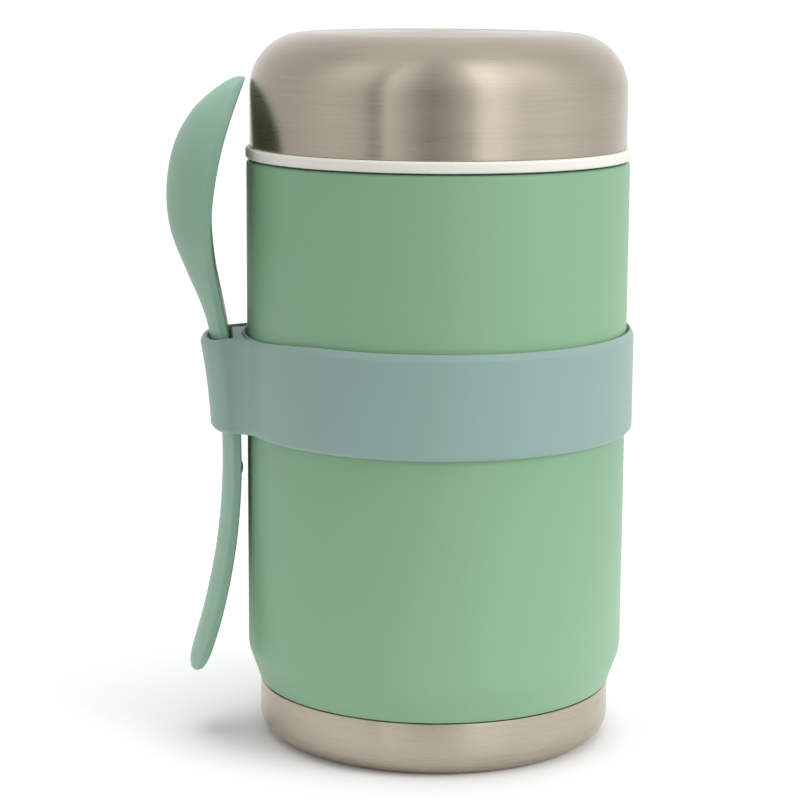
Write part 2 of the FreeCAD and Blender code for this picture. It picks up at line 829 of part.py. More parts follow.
nodes = [
    make_outer_shell(),
    make_inner_liner(),
    make_end_plate(),
    make_getter(),
    make_vacuum_seal(),
    make_base_cup(),
    make_stopper_body(),
    make_stopper_core(),
    make_stopper_gasket(),
    make_stopper_cover(),
    make_vent_button(),
    make_vent_stem(),
    make_vent_seal(),
    make_vent_dome(),
    make_cap_shell(),
    make_cap_liner(),
    make_cap_insulation(),
    make_cap_gasket(),
    make_band(),
    make_spoon(),
]

doc.recompute()
for item in doc.Objects:
    if "Invalid" in item.State or "Error" in item.State:
        raise ValueError(f"{item.Name} failed: {item.State}")
for node in nodes:
    if node.Shape.isNull() or not node.Shape.isValid() or not node.Shape.Solids:
        raise ValueError(f"{node.Label} has no valid solid")

os.makedirs("parts", exist_ok=True)
for node in nodes:
    node.Shape.exportStep(f"parts/{node.Label}.step")
    box = node.Shape.BoundBox
    print(f"{node.Label}: {len(node.Shape.Solids)} solid, {node.Shape.Volume:.1f} mm3,"
          f" x {box.XMin:.2f} to {box.XMax:.2f}, z {box.ZMin:.2f} to {box.ZMax:.2f}")
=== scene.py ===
# %% [markdown]
# # An insulated food jar with a spoon in its band
# The real object is a steel jar with two walls, a coat of green powder paint, a bare brushed
# base, a brushed cap over a pale plastic liner, and a soft band that carries a plastic spoon.
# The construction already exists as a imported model, so this lesson dresses it. Pieces take
# their sizes from the frame where it has them, and the rest are numbers with names.

# %% Load the frame
import json
import math
import bmesh
import bpy
from mathutils import Matrix, Vector


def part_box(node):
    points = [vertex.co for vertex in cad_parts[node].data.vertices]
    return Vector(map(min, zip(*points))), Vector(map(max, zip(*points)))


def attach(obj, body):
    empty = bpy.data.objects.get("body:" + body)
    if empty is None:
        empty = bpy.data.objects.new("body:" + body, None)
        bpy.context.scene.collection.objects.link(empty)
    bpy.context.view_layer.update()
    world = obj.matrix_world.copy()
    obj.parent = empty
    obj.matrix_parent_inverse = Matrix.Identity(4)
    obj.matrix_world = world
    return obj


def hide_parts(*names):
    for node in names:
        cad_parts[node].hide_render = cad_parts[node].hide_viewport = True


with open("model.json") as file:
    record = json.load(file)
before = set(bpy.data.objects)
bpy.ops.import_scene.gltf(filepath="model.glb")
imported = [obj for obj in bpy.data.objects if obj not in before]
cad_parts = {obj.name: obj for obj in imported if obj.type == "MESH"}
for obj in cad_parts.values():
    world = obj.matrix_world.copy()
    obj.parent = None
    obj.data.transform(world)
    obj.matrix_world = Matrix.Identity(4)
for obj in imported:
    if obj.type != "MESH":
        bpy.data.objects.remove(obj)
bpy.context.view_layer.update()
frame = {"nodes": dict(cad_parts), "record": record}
MM = 0.001


def span(node):
    """Lowest and highest corner of a CAD node, in millimetres."""
    low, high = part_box(node)
    return low / MM, high / MM


# %% [markdown]
# ## Sizes read from the frame
# A maker would keep these on a drawing. Radii come from how far a turned piece reaches along
# +X, because the spoon and its pocket are on the -X side, and heights come from its box.

# %% Main sizes in millimetres
shell_high = span("outer_shell")[1]
liner_low, liner_high = span("inner_liner")
cup_high = span("base_cup")[1]
cap_low, cap_high = span("cap_shell")
ring_high = span("cap_liner")[1]
plug_low, plug_high = span("stopper_body")
cover_low = span("stopper_cover")[0]
seat_low, seat_high = span("stopper_gasket")
pad_low, pad_high = span("cap_gasket")
band_low, band_high = span("band")

body_radius = shell_high.x
body_top = pad_low.z
seam = cup_high.z + 0.2
base_radius = cup_high.x
neck_top = shell_high.z
lip_top = liner_high.z
cap_radius = cap_high.x
band_outer = band_high.x
band_inner = body_radius + 0.1
print("body radius", round(body_radius, 2), "shoulder at", round(body_top, 2))

# %% [markdown]
# ## A turned piece from a half section
# Most of the jar is spun or moulded round one axis, so a half section and a spin give the true
# form. Each corner of the section carries its own rounding, made with a vertex bevel while the
# section is still a wire: a small rounding catches the light as a pressed or moulded edge does.


# %% From a bmesh to a finished object
def new_object(name, bm):
    """Put a bmesh into the scene as an object at the origin."""
    mesh = bpy.data.meshes.new(name)
    bm.to_mesh(mesh)
    bm.free()
    piece = bpy.data.objects.new(name, mesh)
    bpy.context.scene.collection.objects.link(piece)
    return piece


def sharp_edges(bm, degrees):
    """Edges between two faces that meet at more than this angle."""
    limit = math.radians(degrees)
    return [edge for edge in bm.edges
            if len(edge.link_faces) == 2 and edge.calc_face_angle(0.0) > limit]


def finish_mesh(name, bm, sharp=35.0):
    """Merge doubles, turn faces outwards, and smooth all but the sharp edges."""
    bmesh.ops.remove_doubles(bm, verts=bm.verts, dist=0.002 * MM)
    bmesh.ops.recalc_face_normals(bm, faces=bm.faces)
    for face in bm.faces:
        face.smooth = True
    for edge in sharp_edges(bm, sharp):
        edge.smooth = False
    return new_object(name, bm)


# %% Section with rounded corners
def round_corner(bm, vert, radius):
    """Bevel one vertex of a wire so that the arc has this radius, in millimetres."""
    ways = [(edge.other_vert(vert).co - vert.co).normalized() for edge in vert.link_edges]
    turn = math.pi - ways[0].angle(ways[1])
    bmesh.ops.bevel(
        bm, geom=[vert], offset=radius * MM * math.tan(turn / 2), offset_type="OFFSET",
        segments=max(3, int(4 + radius * 1.6)), profile=0.5, affect="VERTICES",
        material=-1, loop_slide=True, clamp_overlap=False)


def section_wire(bm, corners):
    """A wire in the XZ plane from (radius, height, rounding) corners, closed off the axis."""
    verts = [bm.verts.new((corner[0] * MM, 0, corner[1] * MM)) for corner in corners]
    on_axis = corners[0][0] == 0 and corners[-1][0] == 0
    for first, second in zip(verts, verts[1:]):
        bm.edges.new((first, second))
    if not on_axis:
        bm.edges.new((verts[-1], verts[0]))
    for vert, corner in zip(verts, corners):
        if len(corner) == 3:
            round_corner(bm, vert, corner[2])


# %% Turn a section about the axis
def turned(name, corners, steps=192):
    """A solid turned about the Z axis."""
    bm = bmesh.new()
    section_wire(bm, corners)
    bmesh.ops.spin(
        bm, geom=bm.verts[:] + bm.edges[:], cent=(0, 0, 0), axis=(0, 0, 1), dvec=(0, 0, 0),
        angle=math.tau, steps=steps, use_merge=True, use_duplicate=False)
    return finish_mesh(name, bm)


# %% [markdown]
# ## A thread as a spun ridge
# The threads are rolled or moulded ridges of about one and a half turns. A spin that also
# climbs at each step draws the helix, and the ridge sinks into its wall at both ends, as a
# rolled thread runs out. A screw modifier could do it too, but not the two ends.


# %% Spin a ridge that climbs
LEAD = 4.0
THREAD_TURNS = 1.5
OUTER_RIDGE = 1.7
INNER_RIDGE = 1.6
cap_thread_start = body_top + 4.5
print("lead of both threads in mm:", LEAD)


def thread(name, wall, reach, start, width, phase=0.0):
    """A helical ridge from radius wall to radius reach, in millimetres."""
    bm = bmesh.new()
    count = 9
    sunk = 0.15
    side = math.copysign(1.0, reach - wall)
    for index in range(count):
        turn = math.pi * index / (count - 1)
        out = wall + (reach - wall) * math.sin(turn) - side * sunk
        bm.verts.new((out * MM, 0, (start + width / 2 * math.cos(turn)) * MM))
    bm.verts.ensure_lookup_table()
    ring = bm.verts[:]
    for index, vert in enumerate(ring):
        bm.edges.new((vert, ring[(index + 1) % count]))
    bmesh.ops.rotate(bm, verts=ring, cent=(0, 0, 0), matrix=Matrix.Rotation(phase, 3, "Z"))
    steps = int(96 * THREAD_TURNS)
    bmesh.ops.spin(
        bm, geom=bm.verts[:] + bm.edges[:], cent=(0, 0, 0), axis=(0, 0, 1),
        dvec=(0, 0, LEAD * THREAD_TURNS / steps * MM), angle=math.tau * THREAD_TURNS,
        steps=steps, use_merge=False, use_duplicate=False)
    bm.verts.ensure_lookup_table()
    run_out = 12
    root = wall - side * (sunk + 0.05)
    for index, vert in enumerate(bm.verts):
        step = index // count
        share = min(1.0, min(step, steps - step) / run_out)
        radius = math.hypot(vert.co.x, vert.co.y) / MM
        wanted = root + (radius - root) * math.sin(share * math.pi / 2)
        vert.co.x *= wanted / radius
        vert.co.y *= wanted / radius
    ends = [edge for edge in bm.edges if len(edge.link_faces) == 1]
    bmesh.ops.holes_fill(bm, edges=ends, sides=0)
    return finish_mesh(name, bm, sharp=60.0)


# %% [markdown]
# ## Shared finishes as node groups
# Three small effects are used by more than one material: fine grain for powder paint and
# moulded parts, brush marks that run round the jar, and a soft change of colour with a
# painted highlight on sharp edges. Each is a shader node group with named inputs, built once.


# %% Helpers for node groups
def new_group(name, inputs, outputs):
    """A shader node group with float, colour or vector sockets."""
    group = bpy.data.node_groups.new(name, "ShaderNodeTree")
    for label, kind, default in inputs:
        socket = group.interface.new_socket(name=label, in_out="INPUT", socket_type=kind)
        if default is not None:
            socket.default_value = default
    for label, kind in outputs:
        group.interface.new_socket(name=label, in_out="OUTPUT", socket_type=kind)
    source = group.nodes.new("NodeGroupInput")
    target = group.nodes.new("NodeGroupOutput")
    return group, source, target


def add(tree, kind, **settings):
    """Add a node, set its properties, and fill inputs given by name."""
    node = tree.nodes.new(kind)
    for key, setting in settings.items():
        if key == "inputs":
            for label, entry in setting.items():
                node.inputs[label].default_value = entry
        else:
            setattr(node, key, setting)
    return node


def maths(tree, operation, first, second=None):
    """A math node fed by sockets or numbers."""
    node = tree.nodes.new("ShaderNodeMath")
    node.operation = operation
    for index, entry in enumerate((first, second)):
        if entry is None:
            continue
        if isinstance(entry, (int, float)):
            node.inputs[index].default_value = entry
        else:
            tree.links.new(entry, node.inputs[index])
    return node.outputs[0]


def clamp(tree, socket):
    """Hold a value between 0 and 1."""
    return maths(tree, "MINIMUM", maths(tree, "MAXIMUM", socket, 0.0), 1.0)


# %% Fine grain of powder paint and moulded plastic
def make_grain_group():
    """Tiny dents in height, and gloss that wanders a little over large areas."""
    group, source, target = new_group(
        "fine_grain",
        [("Scale", "NodeSocketFloat", 900.0), ("Base Roughness", "NodeSocketFloat", 0.5),
         ("Roughness Change", "NodeSocketFloat", 0.08)],
        [("Height", "NodeSocketFloat"), ("Roughness", "NodeSocketFloat")])
    place = add(group, "ShaderNodeTexCoord").outputs["Object"]
    fine = add(group, "ShaderNodeTexNoise", inputs={"Detail": 2.0, "Roughness": 0.6})
    group.links.new(place, fine.inputs["Vector"])
    group.links.new(source.outputs["Scale"], fine.inputs["Scale"])
    broad = add(group, "ShaderNodeTexNoise", inputs={"Scale": 60.0, "Detail": 3.0})
    group.links.new(place, broad.inputs["Vector"])
    swing = maths(group, "SUBTRACT", broad.outputs["Fac"], 0.5)
    swing = maths(group, "MULTIPLY", swing, source.outputs["Roughness Change"])
    rough = maths(group, "ADD", source.outputs["Base Roughness"], swing)
    group.links.new(fine.outputs["Fac"], target.inputs["Height"])
    group.links.new(rough, target.inputs["Roughness"])
    return group


grain_group = make_grain_group()
print("group", grain_group.name, "has", len(grain_group.nodes), "nodes")


# %% Brush marks that run round the axis
def make_brush_group():
    """Marks follow circles about Z, on the sides by height and on the top by radius."""
    group, source, target = new_group(
        "brush_marks",
        [("Pitch", "NodeSocketFloat", 5200.0), ("Run", "NodeSocketFloat", 3.0),
         ("Base Roughness", "NodeSocketFloat", 0.26),
         ("Roughness Change", "NodeSocketFloat", 0.16)],
        [("Height", "NodeSocketFloat"), ("Roughness", "NodeSocketFloat"),
         ("Tone", "NodeSocketFloat")])
    place = add(group, "ShaderNodeTexCoord").outputs["Object"]
    parts = add(group, "ShaderNodeSeparateXYZ")
    group.links.new(place, parts.inputs[0])
    x, y, z = parts.outputs
    square = maths(group, "ADD", maths(group, "MULTIPLY", x, x), maths(group, "MULTIPLY", y, y))
    radius = maths(group, "SQRT", square)
    along = maths(group, "SUBTRACT", z, radius)
    across = maths(group, "MULTIPLY", along, source.outputs["Pitch"])
    run = source.outputs["Run"]
    unit_x = maths(group, "MULTIPLY", maths(group, "DIVIDE", x, radius), run)
    unit_y = maths(group, "MULTIPLY", maths(group, "DIVIDE", y, radius), run)
    joined = add(group, "ShaderNodeCombineXYZ")
    for index, socket in enumerate((unit_x, unit_y, across)):
        group.links.new(socket, joined.inputs[index])
    marks = add(group, "ShaderNodeTexNoise",
                inputs={"Scale": 1.0, "Detail": 4.0, "Roughness": 0.65})
    group.links.new(joined.outputs[0], marks.inputs["Vector"])
    slow = add(group, "ShaderNodeTexNoise",
               inputs={"Scale": 0.07, "Detail": 2.0, "Roughness": 0.5})
    group.links.new(joined.outputs[0], slow.inputs["Vector"])
    both = maths(group, "ADD", maths(group, "MULTIPLY", marks.outputs["Fac"], 0.7),
                 maths(group, "MULTIPLY", slow.outputs["Fac"], 0.3))
    swing = maths(group, "MULTIPLY", maths(group, "SUBTRACT", both, 0.5),
                  source.outputs["Roughness Change"])
    rough = maths(group, "ADD", source.outputs["Base Roughness"], swing)
    group.links.new(both, target.inputs["Height"])
    group.links.new(rough, target.inputs["Roughness"])
    group.links.new(both, target.inputs["Tone"])
    return group


brush_group = make_brush_group()
print("group", brush_group.name, "has", len(brush_group.nodes), "nodes")


# %% Soft change of colour, and a painted highlight along edges
def make_tint_group():
    """Blend two colours by a broad noise, and paint a highlight on edges where the surface bends
    sharply.
    """
    group, source, target = new_group(
        "tint_and_edge_highlight",
        [("Colour", "NodeSocketColor", None), ("Other Colour", "NodeSocketColor", None),
         ("Worn Colour", "NodeSocketColor", None), ("Scale", "NodeSocketFloat", 22.0),
         ("Edge Highlight", "NodeSocketFloat", 0.2)],
        [("Colour", "NodeSocketColor")])
    place = add(group, "ShaderNodeTexCoord").outputs["Object"]
    broad = add(group, "ShaderNodeTexNoise", inputs={"Detail": 3.0, "Roughness": 0.55})
    group.links.new(place, broad.inputs["Vector"])
    group.links.new(source.outputs["Scale"], broad.inputs["Scale"])
    blend = add(group, "ShaderNodeMix", data_type="RGBA")
    group.links.new(broad.outputs["Fac"], blend.inputs["Factor"])
    group.links.new(source.outputs["Colour"], blend.inputs[6])
    group.links.new(source.outputs["Other Colour"], blend.inputs[7])
    # Painted highlight: edges found by pointiness, broken up by fine noise, are mixed towards a
    # lighter colour.
    point = add(group, "ShaderNodeNewGeometry").outputs["Pointiness"]
    bend = maths(group, "MULTIPLY", maths(group, "SUBTRACT", point, 0.54), 9.0)
    speck = add(group, "ShaderNodeTexNoise", inputs={"Scale": 700.0, "Detail": 3.0})
    group.links.new(place, speck.inputs["Vector"])
    bend = maths(group, "MULTIPLY", bend, speck.outputs["Fac"])
    bend = maths(group, "MULTIPLY", clamp(group, bend), source.outputs["Edge Highlight"])
    edge_highlight = add(group, "ShaderNodeMix", data_type="RGBA")
    group.links.new(bend, edge_highlight.inputs["Factor"])
    group.links.new(blend.outputs[2], edge_highlight.inputs[6])
    group.links.new(source.outputs["Worn Colour"], edge_highlight.inputs[7])
    group.links.new(edge_highlight.outputs[2], target.inputs["Colour"])
    return group


tint_group = make_tint_group()
print("group", tint_group.name, "has", len(tint_group.nodes), "nodes")


# %% [markdown]
# ## Materials
# Powder paint, silicone and moulded plastic share one recipe: tint, grain and a small bump.
# Brushed steel has its own, with brush marks in height, gloss and tone. Numbers that are the
# same all over, such as coat or sheen, sit on the shader's own sockets.


# %% Moulded and painted finishes
def soft_finish(name, colour, other, edge_highlight, roughness, grain=900.0, bump=0.05, highlight_amount=0.2, **fixed):
    """A dielectric finish with tint, a painted edge highlight, grain and bump."""
    material = bpy.data.materials.new(name)
    material.use_nodes = True
    tree = material.node_tree
    shader = tree.nodes["Principled BSDF"]
    for label, entry in fixed.items():
        shader.inputs[label.replace("_", " ")].default_value = entry
    tint = add(tree, "ShaderNodeGroup", node_tree=tint_group)
    for label, entry in (("Colour", colour), ("Other Colour", other), ("Worn Colour", edge_highlight)):
        tint.inputs[label].default_value = (*entry, 1)
    tint.inputs["Edge Highlight"].default_value = highlight_amount
    fine = add(tree, "ShaderNodeGroup", node_tree=grain_group)
    fine.inputs["Scale"].default_value = grain
    fine.inputs["Base Roughness"].default_value = roughness
    dents = add(tree, "ShaderNodeBump", inputs={"Strength": bump, "Distance": 0.0002})
    tree.links.new(tint.outputs["Colour"], shader.inputs["Base Color"])
    tree.links.new(fine.outputs["Roughness"], shader.inputs["Roughness"])
    tree.links.new(fine.outputs["Height"], dents.inputs["Height"])
    tree.links.new(dents.outputs["Normal"], shader.inputs["Normal"])
    return material


# The third colour of each finish is the lighter colour of its painted edge highlight.
green_paint = soft_finish(
    "green_paint", (0.210, 0.385, 0.235), (0.220, 0.400, 0.245), (0.28, 0.46, 0.31),
    0.42, grain=1400.0, bump=0.10, highlight_amount=0.3)
green_plastic = soft_finish(
    "green_plastic", (0.226, 0.396, 0.292), (0.236, 0.408, 0.303), (0.30, 0.47, 0.36),
    0.40, grain=1100.0, bump=0.06, highlight_amount=0.2, Subsurface_Weight=0.05)
band_silicone = soft_finish(
    "band_silicone", (0.238, 0.358, 0.322), (0.248, 0.370, 0.334), (0.31, 0.44, 0.39),
    0.48, grain=1500.0, bump=0.08, highlight_amount=0.25, Sheen_Weight=0.12)
white_plastic = soft_finish(
    "white_plastic", (0.78, 0.77, 0.71), (0.80, 0.79, 0.73), (0.84, 0.83, 0.78),
    0.36, grain=900.0, bump=0.04, highlight_amount=0.2)
clear_silicone = soft_finish(
    "clear_silicone", (0.70, 0.71, 0.69), (0.74, 0.75, 0.73), (0.8, 0.8, 0.78),
    0.45, grain=1200.0, bump=0.05, Transmission_Weight=0.25)
foam = soft_finish(
    "foam", (0.80, 0.79, 0.74), (0.86, 0.85, 0.80), (0.9, 0.9, 0.86), 0.9, grain=500.0, bump=0.6)
seal_glass = soft_finish(
    "seal_glass", (0.30, 0.28, 0.26), (0.36, 0.33, 0.30), (0.4, 0.38, 0.35), 0.15, grain=400.0)


# %% Brushed and polished steel
def steel_finish(name, dark, light, roughness, change, pitch, bump=0.12, aniso=0.6):
    """Steel with brush marks round the axis."""
    material = bpy.data.materials.new(name)
    material.use_nodes = True
    tree = material.node_tree
    shader = tree.nodes["Principled BSDF"]
    shader.inputs["Metallic"].default_value = 1.0
    shader.inputs["Anisotropic"].default_value = aniso
    shader.inputs["Anisotropic Rotation"].default_value = 0.25
    brush = add(tree, "ShaderNodeGroup", node_tree=brush_group)
    brush.inputs["Pitch"].default_value = pitch
    brush.inputs["Base Roughness"].default_value = roughness
    brush.inputs["Roughness Change"].default_value = change
    tone = add(tree, "ShaderNodeMix", data_type="RGBA")
    tone.inputs[6].default_value = (*dark, 1)
    tone.inputs[7].default_value = (*light, 1)
    dents = add(tree, "ShaderNodeBump", inputs={"Strength": bump, "Distance": 0.0001})
    around = add(tree, "ShaderNodeTangent", direction_type="RADIAL", axis="Z")
    tree.links.new(brush.outputs["Tone"], tone.inputs["Factor"])
    tree.links.new(tone.outputs[2], shader.inputs["Base Color"])
    tree.links.new(brush.outputs["Roughness"], shader.inputs["Roughness"])
    tree.links.new(brush.outputs["Height"], dents.inputs["Height"])
    tree.links.new(dents.outputs["Normal"], shader.inputs["Normal"])
    tree.links.new(around.outputs[0], shader.inputs["Tangent"])
    return material


brushed_steel = steel_finish(
    "brushed_steel", (0.36, 0.315, 0.255), (0.56, 0.495, 0.405), 0.29, 0.20,
    pitch=3600.0, aniso=0.75)
liner_steel = steel_finish(
    "liner_steel", (0.56, 0.54, 0.50), (0.70, 0.68, 0.64), 0.24, 0.12,
    pitch=1800.0, bump=0.05, aniso=0.3)
plain_steel = steel_finish(
    "plain_steel", (0.42, 0.41, 0.39), (0.55, 0.54, 0.52), 0.35, 0.15,
    pitch=1500.0, bump=0.05, aniso=0.0)

# %% Finishes by name, and how a piece gets one
MATERIALS = {
    "green_paint": green_paint, "green_plastic": green_plastic, "band_silicone": band_silicone,
    "white_plastic": white_plastic, "clear_silicone": clear_silicone, "foam": foam,
    "seal_glass": seal_glass, "brushed_steel": brushed_steel, "liner_steel": liner_steel,
    "plain_steel": plain_steel,
}
print("finishes:", sorted(MATERIALS))


def dress(piece, slot, body, *nodes):
    """Give a new piece its finish and its body, and hide the CAD nodes that it stands for."""
    piece.data.materials.append(MATERIALS[slot])
    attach(piece, body)
    if nodes:
        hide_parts(*nodes)
    print(piece.name, len(piece.data.polygons), "faces")


# %% [markdown]
# ## The CAD nodes that stay
# Pieces that are hidden inside, such as the getter and the foam, keep their CAD shape. Each
# one's material slots are filled with the finish that the record names for it.

# %% Finishes for every CAD node
for entry in frame["record"]["subparts"]:
    node = frame["nodes"][entry["node"]]
    node.data.materials.clear()
    node.data.materials.append(MATERIALS[entry["material_slot"]])

# %% [markdown]
# ## The painted shell and its bare neck
# The outer wall is drawn from one tube of steel, coned in at the foot and turned in at the
# top. Paint covers it up to the shoulder, and the neck with its rolled thread stays bare. One
# mesh with two materials would do, but two turned pieces keep the paint's edge crisp.

# %% Painted shell
shell_wall = 0.6
neck_radius = 39.6
paint_edge = neck_radius + 1.7
painted_shell = turned("painted_shell", [
    (base_radius - shell_wall, seam, 0.15),
    (base_radius, seam, 0.35),
    (body_radius, seam + 8.1, 9.0),
    (body_radius, body_top, 1.0),
    (paint_edge, body_top, 0.1),
    (paint_edge, body_top - shell_wall, 0.1),
    (body_radius - shell_wall, body_top - shell_wall, 0.5),
    (body_radius - shell_wall, seam + 8.3, 8.6),
])
dress(painted_shell, "green_paint", "jar", "outer_shell")

# %% Bare neck and its thread
bare_neck = turned("bare_neck", [
    (neck_radius - shell_wall, body_top - shell_wall, 0.5),
    (paint_edge, body_top - shell_wall, 0.1),
    (paint_edge - 0.05, body_top - 0.08, 0.1),
    (neck_radius, body_top - 0.08, 0.8),
    (neck_radius, neck_top, 0.1),
    (neck_radius - shell_wall, neck_top, 0.1),
])
dress(bare_neck, "plain_steel", "jar", "outer_shell")
neck_thread = thread(
    "neck_thread", neck_radius, neck_radius + 0.85, cap_thread_start, OUTER_RIDGE)
dress(neck_thread, "plain_steel", "jar", "outer_shell")

# %% [markdown]
# ## The liner and its mouth
# Food touches only this bowl of polished steel. It narrows to the mouth, and its top edge is
# rolled over the neck and welded there. It is turned with both its faces, so that the mouth
# shows a true wall.

# %% Inner liner
liner_radius = 39.5
mouth_radius = 37.4
mouth_low = 132.0
mouth_cone = 5.0
liner_wall = 0.5
liner = turned("liner_bowl", [
    (0, liner_low.z),
    (liner_radius + liner_wall, liner_low.z, 9.5),
    (liner_radius + liner_wall, mouth_low - mouth_cone, 3.0),
    (mouth_radius + liner_wall, mouth_low, 3.0),
    (mouth_radius + liner_wall, neck_top, 0.1),
    (neck_radius, neck_top, 0.1),
    (neck_radius, lip_top, 0.34),
    (mouth_radius, lip_top, 0.45),
    (mouth_radius, mouth_low, 3.0),
    (liner_radius, mouth_low - mouth_cone, 3.0),
    (liner_radius, liner_low.z + liner_wall, 9.0),
    (0, liner_low.z + liner_wall),
])
dress(liner, "liner_steel", "jar", "inner_liner")
mouth_thread = thread(
    "mouth_thread", mouth_radius, mouth_radius - 0.6, body_top + 0.5, INNER_RIDGE, phase=1.0)
dress(mouth_thread, "liner_steel", "jar", "inner_liner")

# %% [markdown]
# ## The base cup
# A drawn cup of brushed steel closes the foot and hides the vacuum seal. Its outer edge has a
# large rounding, and a shallow pressed groove stiffens the flat underside. The groove is in
# the section, because a bump would leave the outline flat.

# %% Base cup
groove_outer = base_radius - 7.9
groove_inner = groove_outer - 8.0
groove = 1.0
base_cup = turned("brushed_base", [
    (0, 0.0),
    (groove_inner, 0.0, 1.2),
    (groove_inner + groove, groove, 1.2),
    (groove_outer - groove, groove, 1.2),
    (groove_outer, 0.0, 1.2),
    (base_radius, 0.0, 5.4),
    (base_radius, cup_high.z, 0.28),
    (base_radius - shell_wall, cup_high.z, 0.28),
    (base_radius - shell_wall, shell_wall, 4.8),
    (groove_outer, shell_wall, 0.8),
    (groove_outer - groove, groove + shell_wall, 0.8),
    (groove_inner + groove, groove + shell_wall, 0.8),
    (groove_inner, shell_wall, 0.8),
    (0, shell_wall),
])
dress(base_cup, "brushed_steel", "jar", "base_cup")

# %% [markdown]
# ## The stopper
# Under the cap a moulded stopper screws into the mouth. Its cover keeps the CAD form, with two
# finger recesses beside a grip bar. A copy of that mesh is cleaned and its edges are bevelled,
# because moulded plastic never has a knife edge.


# %% Rounded copy of a CAD node
def rounded_copy(name, node, width, segments=3):
    """A copy of a CAD node's mesh with merged faces and bevelled edges."""
    bm = bmesh.new()
    bm.from_mesh(frame["nodes"][node].data)
    bmesh.ops.remove_doubles(bm, verts=bm.verts, dist=0.001 * MM)
    bmesh.ops.dissolve_limit(
        bm, angle_limit=math.radians(0.5), use_dissolve_boundaries=False,
        verts=bm.verts, edges=bm.edges)
    bmesh.ops.bevel(
        bm, geom=sharp_edges(bm, 40), offset=width * MM, offset_type="OFFSET", segments=segments,
        profile=0.5, affect="EDGES", material=-1, clamp_overlap=True, loop_slide=True)
    for face in bm.faces:
        face.smooth = True
    return new_object(name, bm)


# %% Stopper cover
stopper_cover = rounded_copy("grip_cover", "stopper_cover", 0.35)
dress(stopper_cover, "white_plastic", "stopper", "stopper_cover")

# %% Stopper plug and its thread
plug_radius = 36.3
plug_wall = 1.6
flange_radius = seat_high.x
tube_radius = 7.0
tube_bore = 5.2
vent_hole = 2.2
dome_seat = 143.0
plug_floor = plug_low.z + plug_wall
tube_top = cover_low.z - 0.3
stopper_plug = turned("stopper_plug", [
    (vent_hole, plug_low.z, 0.3),
    (plug_radius, plug_low.z, 1.2),
    (plug_radius, seat_high.z, 0.3),
    (flange_radius, seat_high.z, 0.3),
    (flange_radius, plug_high.z, 0.3),
    (plug_radius - plug_wall, plug_high.z, 0.2),
    (plug_radius - plug_wall, plug_floor, 0.6),
    (tube_radius, plug_floor, 0.4),
    (tube_radius, tube_top, 0.2),
    (tube_bore, tube_top, 0.2),
    (tube_bore, dome_seat, 0.2),
    (vent_hole, dome_seat, 0.2),
])
dress(stopper_plug, "white_plastic", "stopper", "stopper_body")
plug_thread = thread(
    "plug_thread", plug_radius, plug_radius + 0.7, body_top - 1.5, INNER_RIDGE, phase=1.0)
dress(plug_thread, "white_plastic", "stopper", "stopper_body")

# %% Stopper gasket
gasket_inner = 37.4
stopper_seal = turned("stopper_seal", [
    (gasket_inner, seat_low.z, 0.4),
    (flange_radius, seat_low.z, 0.4),
    (flange_radius, seat_high.z, 0.4),
    (gasket_inner, seat_high.z, 0.4),
])
dress(stopper_seal, "clear_silicone", "stopper_lift", "stopper_gasket")

# %% [markdown]
# ## The vent
# A press button in the grip bar pushes a stem that opens a small hole in the plug's floor, so
# that the cap comes free after hot food has cooled. A soft dome brings the button back. All
# four parts are round and small, so they are turned in fewer steps.

# %% Vent button
button_low, button_high = span("vent_button")
finger_dip = 0.35
vent_button = turned("press_button", [
    (0, button_high.z - finger_dip),
    (2.4, button_high.z - finger_dip, 1.2),
    (3.7, button_high.z, 0.8),
    (button_high.x, button_high.z, 0.6),
    (button_high.x, button_low.z, 0.4),
    (0, button_low.z),
], steps=96)
dress(vent_button, "green_plastic", "vent", "vent_button")

# %% Stem, seal and return dome
stem_low, stem_high = span("vent_stem")
vent_stem = turned("press_stem", [
    (0, stem_low.z),
    (stem_high.x, stem_low.z, 0.2),
    (stem_high.x, stem_high.z, 0.2),
    (0, stem_high.z),
], steps=64)
dress(vent_stem, "white_plastic", "vent", "vent_stem")

valve_low, valve_high = span("vent_seal")
vent_seal = turned("valve_seal", [
    (0, valve_low.z),
    (valve_high.x * 0.8, valve_low.z, 0.4),
    (valve_high.x, valve_high.z, 0.25),
    (0, valve_high.z),
], steps=96)
dress(vent_seal, "clear_silicone", "vent", "vent_seal")

dome_low, dome_high = span("vent_return_dome")
dome_wall = 0.6
dome_head = 2.5
vent_dome = turned("return_dome", [
    (dome_high.x - dome_wall, dome_low.z, 0.12),
    (dome_high.x, dome_low.z, 0.2),
    (dome_head, dome_high.z, 0.2),
    (dome_head - dome_wall, dome_high.z, 0.12),
], steps=96)
dress(vent_dome, "clear_silicone", "stopper", "vent_return_dome")

# %% [markdown]
# ## The cap
# A thin steel dome is pressed over a moulded liner. The liner's flange shows as the pale ring
# under the steel, and its thread winds down onto the neck. A soft gasket rests on the shoulder.
# The crown's large rounding is one bevelled corner of the section.

# %% Cap shell
cap_wall = 0.5
cap_crown = 0.5
cap_round = 13.0
cap_edge = cap_high.z - cap_crown
cap_shell = turned("brushed_cap", [
    (0, cap_high.z),
    (cap_radius, cap_edge, cap_round),
    (cap_radius, cap_low.z, 0.2),
    (cap_radius - cap_wall, cap_low.z, 0.12),
    (cap_radius - cap_wall, cap_edge - cap_wall, cap_round - cap_wall),
    (0, cap_high.z - cap_wall),
])
dress(cap_shell, "brushed_steel", "cap", "cap_shell")

